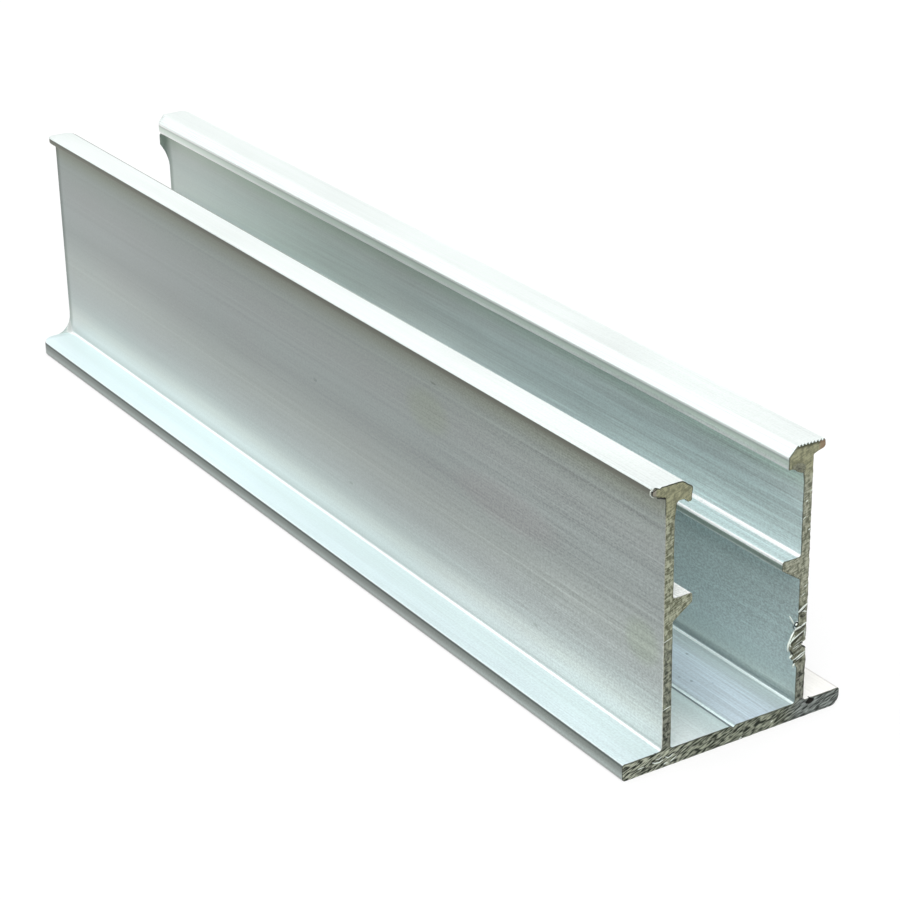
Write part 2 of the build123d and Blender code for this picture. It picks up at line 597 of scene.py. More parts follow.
def mill_finish(die_lines, single_line, spot):
    """The drawn faces: fine lines along the length, and a tone for each face of the section, which paints in
    its light and shade.
    """
    material, tree, shader = new_material("mill_finish", 0.6, 0.5)
    point, normal = coordinates(tree)
    x, y, z = axes(point)
    nx, ny, nz = axes(normal)
    tone, across, outside, level, head, left, low, floor_right, highlight_rounds = face_tone(x, y, z, nx, ny, nz)
    upright = 1.0 - level
    right_flange = ramp(x, 0.0130, 0.0135) * low
    left_flange = ramp(x, -0.0130, -0.0135) * low * level

    fading = ramp(y, -0.09, -0.01, 1.0, 0.4) * ramp(y, 0.0, 0.09, 1.0, 0.6)
    plain = fading * ramp(z, 0.003, 0.014, 0.5, 1.0) + floor_right * 0.6
    lines = use_group(die_lines, Point=point, Fine=0.62, Coarse=0.55)["Lines"]
    specks = grain(mapped(point, (3600, 2200, 3600)), 1.5, 0.6)
    patches = grain(mapped(point, (45, 16, 45)))
    speck_part = ramp(specks, 0.25, 0.75, -0.16, 0.16) * fading
    speck_part = speck_part * ramp(z, 0.003, 0.014, 0.6, 1.0) * ramp(level, 0.0, 1.0, 1.0, 0.75)
    inner_wall = less(upright, outside)
    above_ledge = ramp(z, 0.023, 0.026)
    line_gain = inner_wall * ramp(above_ledge, 0.0, 1.0, -0.45, 0.1) + 1.0
    speck_gain = inner_wall * ramp(above_ledge, 0.0, 1.0, 0.2, -0.4) + 1.0
    total = lines * plain * line_gain + speck_part * speck_gain
    total = total * ramp(head, 0.0, 1.0, 1.0, 0.3) * ramp(right_flange, 0.0, 1.0, 1.0, 0.3)
    total = total + ramp(patches, 0.3, 0.7, -0.04, 0.04) * (1.0 - right_flange)
    total = total + left_flange * ramp(y, -0.07, 0.0, 0.0, 0.12)
    total = total + line_set(single_line, z, OUTER_LINES) * outside * fading * upright
    total = total + line_set(single_line, across, HEAD_LINES) * level * head
    total = total + line_set(single_line, across, FLOOR_LINES) * floor_right
    tone = scaled(tone, total + 1.0)

    walls = outside * upright
    far_gain = ramp(y, 0.02, 0.09) * ramp(z, 0.008, 0.02, -0.02, 0.15) + 1.0
    tone = scaled(tone, ramp(y, -0.09, -0.02, 1.01, 0.90) * far_gain, walls)
    warm = grain(mapped(point, (40, 18, 40), (3, 7, 1)))
    tone = blend(ramp(warm, 0.5, 0.7, 0.0, 0.5) * walls, tone, (1.0, 0.955, 0.965), "MULTIPLY")
    tone = spotted(tone, spot, FLOOR_SPOTS, y, x, floor_right)
    tone = spotted(tone, spot, WALL_SPOTS, y, z, walls * ramp(x, -0.0119, -0.0121))
    # The far end's round is painted with shade, less on level faces.
    far_end_shade = ramp(y, 0.0982, 0.0995) * (1.0 - level * 0.6)
    tone = blend(far_end_shade, tone, (0.64, 0.67, 0.65), "MULTIPLY")
    # The left head's faces that turn to the right are painted with shade along the nearer part.
    left_nose_shade = ramp(nx, 0.12, 0.35) * left * head * ramp(y, -0.06, 0.02)
    connect(blend(left_nose_shade, tone, (0.30, 0.34, 0.31)), shader.inputs["Base Color"])

    metal = ramp(z, 0.003, 0.008, 0.25, 0.6) * ramp(highlight_rounds, 0.0, 1.0, 1.0, 0.15)
    connect(metal * ramp(right_flange, 0.0, 1.0, 1.0, 0.35), shader.inputs["Metallic"])
    rough = ramp(patches, 0.3, 0.7, 0.46, 0.54) + lines * 0.2 - highlight_rounds * 0.22
    connect(rough, shader.inputs["Roughness"])
    add_bump(shader, lines * fading, 0.25, 0.04)
    return material


def sawn_end(saw_marks):
    """The cut ends: olive grey above, darker and sharply scored at the base, with painted shade and highlight
    lines along the edges.
    """
    material, tree, shader = new_material("sawn_end", 0.5, 0.5)
    point = coordinates(tree)[0]
    x, _, z = axes(point)
    made = use_group(saw_marks, Point=point, Slant=(0.0, SAW_SLANT, 0.0))
    marks, blotches = made["Marks"], made["Blotches"]
    low = ramp(z, 0.0105, 0.0075)
    base = ramp(z, 0.0036, 0.0026)
    head = ramp(z, 0.038, 0.042)
    left = ramp(x, 0.001, -0.001)
    right = ramp(x, 0.0085, 0.0125)
    middle = ramp(z, 0.0215, 0.0185) * left

    dark = blend(left, (0.12, 0.13, 0.085), (0.10, 0.108, 0.062))
    light = blend(left, (0.43, 0.445, 0.345), (0.43, 0.455, 0.335))
    dark = blend(middle, dark, (0.05, 0.06, 0.044))
    light = blend(middle, light, (0.33, 0.35, 0.265))
    dark = blend(low, dark, (0.01, 0.014, 0.008))
    light = blend(low, light, (0.28, 0.295, 0.235))
    base_light = blend(ramp(x, -0.0070, -0.0105), (0.40, 0.435, 0.33), (0.54, 0.575, 0.45))
    base_light = blend(right, base_light, (0.33, 0.37, 0.345))
    dark = blend(base, dark, blend(right, (0.010, 0.016, 0.008), (0.028, 0.034, 0.030)))
    light = blend(base, light, base_light)
    dark = blend(head, dark, (0.19, 0.195, 0.12))
    light = blend(head, light, (0.37, 0.375, 0.235))

    # The dark and light of the saw marks partly paint the shading of the scored facets and partly the marks'
    # own streaks.
    upper = 1.0 - base
    mottle = grain(mapped(point, (1700, 1500, 1000)), 2.0, 0.6) - marks
    share = ramp(mottle * (upper * 0.6) + marks, 0.41, 0.60) + ramp(upper, 0.0, 1.0, 0.0, 0.04)
    tone = blend(less(share, ramp(base, 0.0, 1.0, 0.0, 0.09)), dark, light)
    tone = blend(ramp(blotches, 0.5, 0.72) * 0.3 * upper, tone, light)
    tone = blend(ramp(blotches, 0.5, 0.32) * 0.4, tone, dark)
    torn_top = ramp(z, 0.0441, 0.0445) * ramp(x, 0.0098, 0.0102)
    tone = blend(torn_top * 0.85, tone, (0.06, 0.065, 0.035))

    lips = ramp(z, 0.042, 0.043)
    tone = blend(ramp(x, -0.0146, -0.0150) * lips * 0.8, tone, (0.33, 0.30, 0.26))
    tone = blend(ramp(x, 0.0138, 0.0144) * lips * 0.7, tone, (0.30, 0.19, 0.12))

    # Along the outline, a stored value paints a dark line of shade or a light line of highlight.
    edge = stored_value(tree, "painted_edge_line")
    uneven = ramp(blotches, 0.3, 0.7, -0.25, 0.25)
    tone = blend(ramp(edge + uneven, 0.45, 0.75), tone, (0.035, 0.042, 0.025))
    tone = blend(ramp(uneven - edge, 0.45, 0.75), tone, (0.62, 0.65, 0.60))
    connect(tone, shader.inputs["Base Color"])
    connect(ramp(marks, 0.3, 0.7, 0.58, 0.42), shader.inputs["Roughness"])
    add_bump(shader, marks, 0.5, 0.05)
    return material


def torn_metal():
    """Flakes that the saw dragged out, coloured by their painted light: near black painted shade where they
    lie deep, white painted highlights along their edges.
    """
    material, tree, shader = new_material("torn_metal", 0.1, 0.6)
    specks = grain(mapped(coordinates(tree)[0], (2800, 2800, 2800)), 2.0, 0.6)
    share = stored_value(tree, "painted_light") + ramp(specks, 0.3, 0.7, -0.12, 0.12)
    tone = blend(ramp(share, 0.1, 0.5), (0.005, 0.007, 0.004), (0.25, 0.26, 0.185))
    tone = blend(ramp(share, 0.5, 0.9), tone, (0.92, 1.0, 0.93))
    connect(tone, shader.inputs["Base Color"])
    add_bump(shader, specks, 0.4, 0.04)
    return material


def painted_pit_shade():
    """Near black painted shade lining the gouge at the foot of the right wall and the pits."""
    material, tree, shader = new_material("painted_pit_shade", 0.0, 0.85)
    specks = grain(mapped(coordinates(tree)[0], (4000, 4000, 4000)), 2.0, 0.6)
    connect(blend(specks, (0.004, 0.005, 0.003), (0.03, 0.03, 0.025)), shader.inputs["Base Color"])
    add_bump(shader, specks, 0.6, 0.06)
    return material


# The rail itself


def merged_copy(node):
    """Copy a CAD node's mesh into a bmesh with its corners merged and its flat faces joined."""
    shape = bmesh.new()
    shape.from_mesh(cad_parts[node].data)
    bmesh.ops.remove_doubles(shape, verts=shape.verts[:], dist=1e-6)
    bmesh.ops.dissolve_limit(shape, angle_limit=radians(0.3), verts=shape.verts[:], edges=shape.edges[:])
    return shape


def part_of(shape, inside):
    """List the points for which a test of their place holds, with the edges and faces between them."""
    verts = [v for v in shape.verts if inside(v.co)]
    chosen = set(verts)
    edges = [e for e in shape.edges if e.verts[0] in chosen and e.verts[1] in chosen]
    faces = [f for f in shape.faces if all(v in chosen for v in f.verts)]
    return verts + edges + faces


def cut_plane(shape, geometry, place, normal):
    """Divide part of the shape where a plane crosses it."""
    bmesh.ops.bisect_plane(shape, geom=geometry, dist=1e-6, plane_co=normal * place, plane_no=normal)


def cut_across(shape, place):
    """Divide the whole shape at one place along its length."""
    cut_plane(shape, shape.verts[:] + shape.edges[:] + shape.faces[:], place, ALONG)


def divide(shape, reach, normal, start, stop, step, low=(-1.0, -1.0), high=(1.0, 1.0)):
    """Cut the near end into even strips, between two corners given as across and height."""
    limit = NEAR_END + reach + 1e-6

    def inside(co):
        return co.y < limit and low[0] <= co.x <= high[0] and low[1] <= co.z <= high[1]

    place = start
    while place < stop:
        cut_plane(shape, part_of(shape, inside), place, normal)
        place += step


def painted_edge_line_at(x, z, across, up):
    """How dark a painted shade line, or when negative how light a painted highlight line, runs along the
    cut's outline at one point of it.
    """
    left = x < 0
    if z > 41.0:
        if left and across > 0.4:
            return 1.8
        return 1.2 if up > 0.4 or across < -0.6 and not left else 0.0
    if z < 3.2:
        return 0.9 if up > 0.3 else 0.0
    if abs(across) < 0.5:
        return 0.0
    channel_side = (across > 0) == left
    if channel_side:
        return 0.75 if z > 27.0 else 0.55
    if left:
        return -0.6 if z < 24.0 else -0.2
    return 1.3 if z < 9.0 else 0.0


def cut_outline(shape):
    """Set a narrow band off along the near cut's outline, break the edge, and store on it the painted shade
    and highlight line.
    """
    near_cap = [f for f in shape.faces if f.material_index == 1 and f.calc_center_median().y < 0]
    band = EDGE_LINE * MM
    bmesh.ops.inset_region(shape, faces=near_cap, thickness=band, use_boundary=True, use_even_offset=True)
    near_outline = [
        e
        for e in shape.edges
        if {f.material_index for f in e.link_faces} == {0, 1} and e.verts[0].co.y < 0 and e.verts[1].co.y < 0
    ]
    bmesh.ops.bevel(
        shape,
        geom=near_outline,
        offset=EDGE_BREAK * MM,
        offset_type="OFFSET",
        affect="EDGES",
        segments=1,
        profile=0.5,
        material=0,
        clamp_overlap=True,
    )
    painted_line_layer = shape.verts.layers.float.new("painted_edge_line")
    shape.normal_update()
    for vert in shape.verts:
        if len({f.material_index for f in vert.link_faces}) == 2 and vert.co.y < 0:
            side = Vector((0, 0, 0))
            for face in vert.link_faces:
                if face.material_index == 0:
                    side += face.normal
            side = Vector((side.x, 0, side.z)).normalized()
            vert[painted_line_layer] = painted_edge_line_at(vert.co.x / MM, vert.co.z / MM, side.x, side.z)


def roughened_end(shape):
    """Divide the near end finely and make it ragged."""
    cut_outline(shape)
    for depth in ROUGH_DEPTHS:
        cut_across(shape, NEAR_END + depth * MM)
    reach = ROUGH_DEPTHS[2] * MM
    divide(shape, reach, ACROSS, -0.0198, 0.0199, GRID_STEP * MM)
    divide(shape, reach, UP, 0.0003, 0.0447, GRID_STEP * MM)
    divide(shape, ROUGH_DEPTHS[1] * MM, ACROSS, 0.0101, 0.0150, TOOTH_STEP * MM, *RIGHT_HEAD)
    shape.normal_update()
    moves = []
    for vert in shape.verts:
        depth = (vert.co.y - NEAR_END) / MM
        if depth < ROUGH_REACH:
            moves.append((vert, end_shift(vert, depth)))
    for vert, move in moves:
        vert.co += move


def faded(distance, reach):
    """A share that is 1 at no distance and 0 from the reach on."""
    return max(0.0, 1.0 - distance / reach)


def progress(value, start, span):
    """How far a value has come along a span, from 0 to 1."""
    return max(0.0, min(1.0, (value - start) / span))


def bump_at(value, centre, reach):
    """A smooth hump that is 1 at the centre and 0 beyond the reach."""
    share = faded(abs(value - centre), reach)
    return share * share * (3 - 2 * share)


def rounded_far_end(shape):
    """Wear the far end's outer corners and its top edges round, and fill its inner corners."""
    for depth in FAR_DEPTHS:
        cut_across(shape, FAR_END - depth * MM)
    limit = FAR_END - (FAR_ROUND + 0.01) * MM
    for height in FAR_HEIGHTS:
        cut_plane(shape, part_of(shape, lambda co: co.y > limit), height * MM, UP)
    for vert in shape.verts:
        left_over = FAR_ROUND - (FAR_END - vert.co.y) / MM
        if left_over <= 0:
            continue
        share = 1.0 - (max(0.0, 1.0 - (left_over / FAR_ROUND) ** 2)) ** 0.5
        z = vert.co.z / MM
        across = filled_corner(abs(vert.co.x) / MM, z, share)
        if z > HEAD_BOTTOM:
            across -= share * FAR_LIP_ROUND * progress(across, WEB_OUTER, LIP_REACH)
            across += share * FAR_NOSE_ROUND * progress(across, NOSE_ROOT, -NOSE_REACH)
        else:
            across -= share * FAR_ROUND * progress(across, BASE_HALF - FAR_ROUND, FAR_ROUND)
        vert.co.x = (1 if vert.co.x > 0 else -1) * across * MM
        vert.co.z -= share * FAR_TOP_ROUND * progress(z, FAR_TOP_START, FAR_TOP_SPAN) * MM


def filled_corner(across, z, share):
    """Move a point of the far end outwards at a wall's foot, or inwards below a head's nose."""
    if WEB_OUTER - 0.1 < across < 17.0 and BASE_TOP - 0.01 < z < BASE_TOP + FAR_FLARE:
        run = min(1.0, 1.0 - (z - BASE_TOP) / FAR_FLARE)
        flared = WEB_OUTER + FAR_FLARE_REACH * (1.0 - (1.0 - run**2) ** 0.5)
        return across + share * (max(across, flared) - across)
    if 9.25 < across < WEB_INNER + 0.15 and FAR_FILL_START < z < 42.2:
        rise = min(1.0, (z - FAR_FILL_START) / FAR_FILL_SPAN)
        filled = max(FAR_FILL_LIMIT, WEB_INNER - FAR_FILL_REACH * rise**2)
        return across + share * (min(across, filled) - across)
    return across


def end_shift(vert, depth):
    """How far the saw's damage moves one point of the near end."""
    x, z = vert.co.x / MM, vert.co.z / MM
    fade = faded(depth, RAGGED_DEPTH)
    outward = Vector((vert.normal.x, 0, vert.normal.z))
    shift = Vector((0, 0, 0))
    if outward.length < 0.2:
        line = z * cos(SAW_SLANT) - x * sin(SAW_SLANT)
        run = x * cos(SAW_SLANT) + z * sin(SAW_SLANT)
        shift.y = SAW_RELIEF * noise.noise(Vector((run * 0.5, 3.1, line * 3.0)))
    else:
        wave = noise.noise(Vector((x * 0.9, 5.7, z * 0.9)))
        wave += 0.6 * noise.noise(Vector((x * 2.7, 1.3, z * 2.7)))
        coarse = 2.2 if x > 12.9 and z > 5.0 else 1.0
        shift += outward.normalized() * RAGGED * coarse * wave * fade
    shift += head_teeth(x, z, depth)
    shift += worn_corner(x, z) * faded(depth, ROUGH_DEPTHS[-1])
    shift += lip_burr(x, z) * fade
    shift += web_smear(x, z) * faded(depth, SMEAR_DEPTH)
    return shift * MM


def worn_corner(x, z):
    """The lower right corner of the near end is worn to a large round."""
    across = x - (BASE_HALF - CORNER_ROUND)
    down = CORNER_ROUND - z
    if across <= 0 or down <= 0:
        return Vector((0, 0, 0))
    distance = (across**2 + down**2) ** 0.5
    pull = max(across, down) / distance - 1.0
    return Vector((across * pull, 0, -down * pull))


def head_teeth(x, z, depth):
    """Small notches along the near top edge of the right head."""
    if not 10.3 < x < 15.1 or z < 44.4 or depth > 0.2:
        return Vector((0, 0, 0))
    tooth = max(0.0, sin(x / TOOTH_PITCH * 2 * pi) - 0.1)
    return Vector((0, 0.04, -0.2)) * tooth


def lip_burr(x, z):
    """The left lip is dragged outwards and thinned, with a low bump and a notch on its top."""
    tip = bump_at(x, -15.3, 0.9) * bump_at(z, 44.4, 1.5)
    bump = bump_at(x, -14.85, 0.5) * bump_at(z, 44.8, 0.5)
    notch = bump_at(x, -14.15, 0.3) * bump_at(z, 44.8, 0.4)
    under = bump_at(x, -15.0, 0.9) * bump_at(z, 43.4, 0.6)
    nose_roll = bump_at(x, -8.7, 1.0) * bump_at(z, 43.4, 1.4)
    return (
        Vector((-0.35, -0.05, 0.0)) * tip
        + Vector((0, 0, 0.22)) * bump
        + Vector((0, 0, -0.2)) * notch
        + Vector((0, 0, 0.25)) * under
        + Vector((0.2, 0, 0.16)) * nose_roll
    )


def web_smear(x, z):
    """Low on the right wall the saw dragged metal over the channel, and pushed a little outwards."""
    if x > 12.7:
        return Vector((0.18 * bump_at(z, 9.7, 1.2), 0, 0))
    if x < 10.5 or x > 12.4 or not 8.6 < z < 16.6:
        return Vector((0, 0, 0))
    bulge = 1.95 * bump_at(z, 13.1, 3.4) ** 0.8 + 0.8 * bump_at(z, 10.3, 2.0)
    bulge += 0.35 * noise.noise(Vector((0.0, 0.0, z * 2.1)))
    return Vector((-bulge, -0.04 * bulge, 0)) * progress(x, 12.4, -0.9)


def facet_block(centre, size, seed, fineness=2):
    """A small rough block, to be cut out of the rail."""
    block = bmesh.new()
    bmesh.ops.create_icosphere(block, subdivisions=fineness, radius=1.0)
    for vert in block.verts:
        rough = 1.0 + 0.28 * noise.noise(vert.co * 1.7 + Vector((seed, 0, 0)))
        vert.co = Vector((vert.co.x * size[0], vert.co.y * size[1], vert.co.z * size[2])) * rough * MM
        vert.co += Vector((centre[0] * MM, NEAR_END + centre[1] * MM, centre[2] * MM))
    return block


def carved(rail, blocks):
    """Cut small blocks out of the rail's mesh, and give the cut walls each block's own finish."""
    scene = bpy.context.scene
    for block, material in blocks:
        mesh = bpy.data.meshes.new("bite")
        block.to_mesh(mesh)
        block.free()
        mesh.materials.append(material)
        cutter = bpy.data.objects.new("bite", mesh)
        scene.collection.objects.link(cutter)
        change = rail.modifiers.new("bite", "BOOLEAN")
        change.operation = "DIFFERENCE"
        change.solver = "EXACT"
        change.material_mode = "TRANSFER"
        change.object = cutter
        bpy.context.view_layer.update()
        result = bpy.data.meshes.new_from_object(rail.evaluated_get(bpy.context.evaluated_depsgraph_get()))
        rail.modifiers.remove(change)
        rail.data = result
        bpy.data.objects.remove(cutter)


def sharpen(mesh, sharp_angle=radians(32)):
    """Shade a mesh smoothly except over its sharp edges."""
    shape = bmesh.new()
    shape.from_mesh(mesh)
    for edge in shape.edges:
        edge.smooth = len(edge.link_faces) == 2 and edge.calc_face_angle() < sharp_angle
    for face in shape.faces:
        face.smooth = True
    shape.to_mesh(mesh)
    shape.free()


def add_object(name, shape, materials):
    """Link a bmesh as an object at the origin."""
    mesh = bpy.data.meshes.new(name)
    shape.to_mesh(mesh)
    shape.free()
    for material in materials:
        mesh.materials.append(material)
    made = bpy.data.objects.new(name, mesh)
    bpy.context.scene.collection.objects.link(made)
    return made


# Flakes, burrs and hairs of metal


# How far in front of the cut all torn metal stands, in millimetres.
LIFT = 0.12


def before_cut(x, z, forward):
    """The point at a distance in front of the cut that the camera sees over one point of the cut."""
    on_cut = Vector((x, -100.0, z)) * MM
    share = (LIFT + forward) * MM / (NEAR_END - CAMERA_PLACE.y)
    return on_cut + (CAMERA_PLACE - on_cut) * share


def strip(shape, painted_light_layer, path, width, thickness, lean, painted_light):
    """Draw a flat strip of metal through points given as across, height and distance in front of the cut."""
    points = [before_cut(x, z, forward) for x, z, forward in path]
    frames = []
    for index, point in enumerate(points):
        before = points[max(index - 1, 0)]
        after = points[min(index + 1, len(points) - 1)]
        along = (after - before).normalized()
        up = Vector((0, -sin(lean), cos(lean)))
        up = (up - along * up.dot(along)).normalized()
        face = up.cross(along)
        turn = Matrix((up, face, along)).transposed().to_4x4()
        share = index / (len(points) - 1)
        swell = 0.35 + 0.65 * min(1.0, 4 * share * (1 - share) + 0.25)
        size = Matrix.Diagonal((width * MM / 2 * swell, thickness * MM / 2 * swell, 1, 1))
        frames.append(Matrix.Translation(point) @ turn @ size)
    ring = bmesh.ops.create_circle(shape, cap_ends=True, segments=8, radius=1.0)["verts"]
    for vert in ring:
        # One edge of each brighter strip gets a white painted highlight.
        vert[painted_light_layer] = 1.0 if vert.co.x > 0.9 and painted_light > 0.55 else painted_light
    end = [f for f in shape.faces if set(f.verts) == set(ring)]
    bmesh.ops.transform(shape, matrix=frames[0], verts=ring)
    for last, following in zip(frames, frames[1:]):
        pulled = bmesh.ops.extrude_face_region(shape, geom=end)["geom"]
        if last is not frames[0]:
            bmesh.ops.delete(shape, geom=end, context="FACES_ONLY")
        ring = [g for g in pulled if isinstance(g, bmesh.types.BMVert)]
        end = [g for g in pulled if isinstance(g, bmesh.types.BMFace)]
        bmesh.ops.transform(shape, matrix=following @ last.inverted(), verts=ring)


# The flakes of the tear. Points are across and height in millimetres and the distance in front of the cut,
# followed by width, thickness, lean in degrees and painted light: 0 is near black painted shade, 1 is a white
# painted highlight.
WEB_FLAKES = (
    (((13.1, 18.98, 0.1), (12.4, 18.58, 0.3), (11.8, 18.2, 0.35), (11.42, 17.95, 0.3)), 0.62, 0.16, 15, 1.0),
    (((12.95, 18.5, 0.0), (12.3, 18.05, 0.1), (11.6, 17.55, 0.1)), 0.55, 0.1, 35, 0.12),
    (((12.93, 17.65, 0.1), (12.55, 17.85, 0.25), (12.15, 17.95, 0.2)), 0.24, 0.1, 15, 0.85),
    (((12.9, 17.2, 0.0), (12.4, 17.0, 0.1), (11.8, 17.1, 0.05)), 0.6, 0.1, 40, 0.22),
    (((12.95, 15.85, 0.2), (12.6, 15.72, 0.4), (12.1, 15.5, 0.35)), 0.6, 0.16, 20, 1.0),
    (((12.15, 15.45, 0.15), (11.6, 15.4, 0.3), (11.1, 15.28, 0.35), (10.66, 15.12, 0.25)),
     0.54, 0.16, 25, 0.95),
    (((12.95, 15.35, 0.0), (12.2, 15.15, 0.15), (11.4, 14.9, 0.2), (10.75, 14.75, 0.1)), 0.42, 0.12, 40, 0.0),
    (((12.55, 14.62, 0.1), (11.6, 14.2, 0.35), (10.6, 13.68, 0.4), (9.86, 13.15, 0.35)),
     0.32, 0.12, 15, 0.95),
    (((12.75, 14.25, 0.0), (11.9, 13.9, 0.1), (11.1, 13.4, 0.15), (10.3, 12.95, 0.1)), 0.5, 0.1, 40, 0.05),
    (((12.8, 15.0, 0.1), (12.75, 14.2, 0.25), (12.9, 13.4, 0.25)), 0.2, 0.1, 60, 0.85),
    (((12.3, 13.75, 0.05), (11.6, 13.35, 0.15), (11.0, 13.0, 0.2)), 0.22, 0.1, 45, 0.6),
    (((10.75, 15.0, 0.2), (10.35, 14.55, 0.4), (10.05, 13.9, 0.4),
      (9.7, 13.2, 0.4), (9.6, 12.6, 0.4), (9.72, 12.0, 0.35)),
     0.32, 0.22, 90, 1.0),
    (((10.95, 14.3, 0.2), (10.55, 13.9, 0.35), (10.2, 13.35, 0.35), (9.95, 12.9, 0.3)), 0.16, 0.12, 60, 0.8),
    (((12.4, 13.1, 0.1), (11.6, 12.8, 0.2), (10.7, 12.4, 0.2)), 0.3, 0.1, 42, 0.62),
    (((12.3, 12.8, 0.1), (11.6, 12.55, 0.2), (10.7, 12.1, 0.2)), 0.26, 0.08, 42, 0.05),
    (((12.3, 12.4, 0.1), (11.6, 12.15, 0.22), (10.7, 11.75, 0.22)), 0.36, 0.1, 42, 0.6),
    (((12.4, 12.0, 0.1), (11.6, 11.75, 0.2), (10.8, 11.4, 0.2)), 0.24, 0.08, 42, 0.1),
    (((12.45, 11.7, 0.1), (11.7, 11.4, 0.2), (10.85, 11.1, 0.2)), 0.34, 0.1, 42, 0.58),
    (((12.4, 11.35, 0.05), (11.7, 11.05, 0.15), (10.95, 10.8, 0.15)), 0.24, 0.08, 42, 0.12),
    (((11.75, 12.5, 0.25), (11.15, 12.28, 0.35), (10.5, 12.12, 0.3)), 0.18, 0.08, 20, 0.75),
    (((10.3, 12.62, 0.25), (10.1, 12.8, 0.35), (9.95, 12.95, 0.3)), 0.2, 0.1, 20, 0.8),
    (((10.15, 12.1, 0.2), (10.45, 11.6, 0.3), (10.7, 11.05, 0.25)), 0.42, 0.12, 60, 0.0),
    (((11.75, 12.75, 0.1), (12.15, 12.8, 0.25), (12.45, 12.6, 0.2)), 0.42, 0.14, 60, 0.0),
    (((12.45, 12.25, 0.1), (12.75, 11.95, 0.25), (12.98, 11.7, 0.2)), 0.36, 0.14, 60, 0.0),
    (((10.5, 11.2, 0.2), (10.25, 11.0, 0.35), (10.0, 10.75, 0.25)), 0.55, 0.2, 70, 1.0),
    (((13.05, 11.1, 0.1), (12.2, 10.85, 0.3), (11.4, 10.45, 0.35), (10.66, 10.2, 0.3)), 0.36, 0.12, 20, 0.9),
    (((13.0, 10.85, 0.1), (12.7, 10.62, 0.25), (12.0, 10.33, 0.3), (11.4, 10.05, 0.25)), 0.24, 0.12, 20, 0.8),
    (((12.7, 10.4, 0.0), (12.0, 10.05, 0.12), (11.4, 9.8, 0.15), (10.9, 9.7, 0.1)), 0.4, 0.1, 40, 0.03),
    (((11.05, 9.62, 0.2), (10.78, 9.35, 0.35), (10.8, 8.97, 0.25)), 0.34, 0.18, 80, 1.0),
    (((12.9, 9.9, 0.0), (12.3, 9.55, 0.1), (11.6, 9.2, 0.12)), 0.5, 0.1, 40, 0.45),
    (((10.95, 10.0, 0.05), (10.85, 9.85, 0.12), (10.75, 9.75, 0.05)), 0.3, 0.1, 60, 0.0),
    (((9.78, 17.82, 0.5), (10.0, 17.4, 0.5), (10.3, 16.85, 0.35), (10.66, 16.3, 0.1)), 0.24, 0.28, 30, 1.0),
    (((10.5, 16.1, 0.1), (10.55, 15.7, 0.2), (10.8, 15.35, 0.2)), 0.2, 0.12, 60, 0.1),
    (((12.9, 22.2, 0.0), (12.6, 22.0, 0.08), (12.3, 21.85, 0.02)), 0.2, 0.08, 20, 0.8),
    (((12.5, 20.9, 0.0), (12.1, 20.6, 0.08), (11.8, 20.45, 0.02)), 0.2, 0.08, 20, 0.75),
)

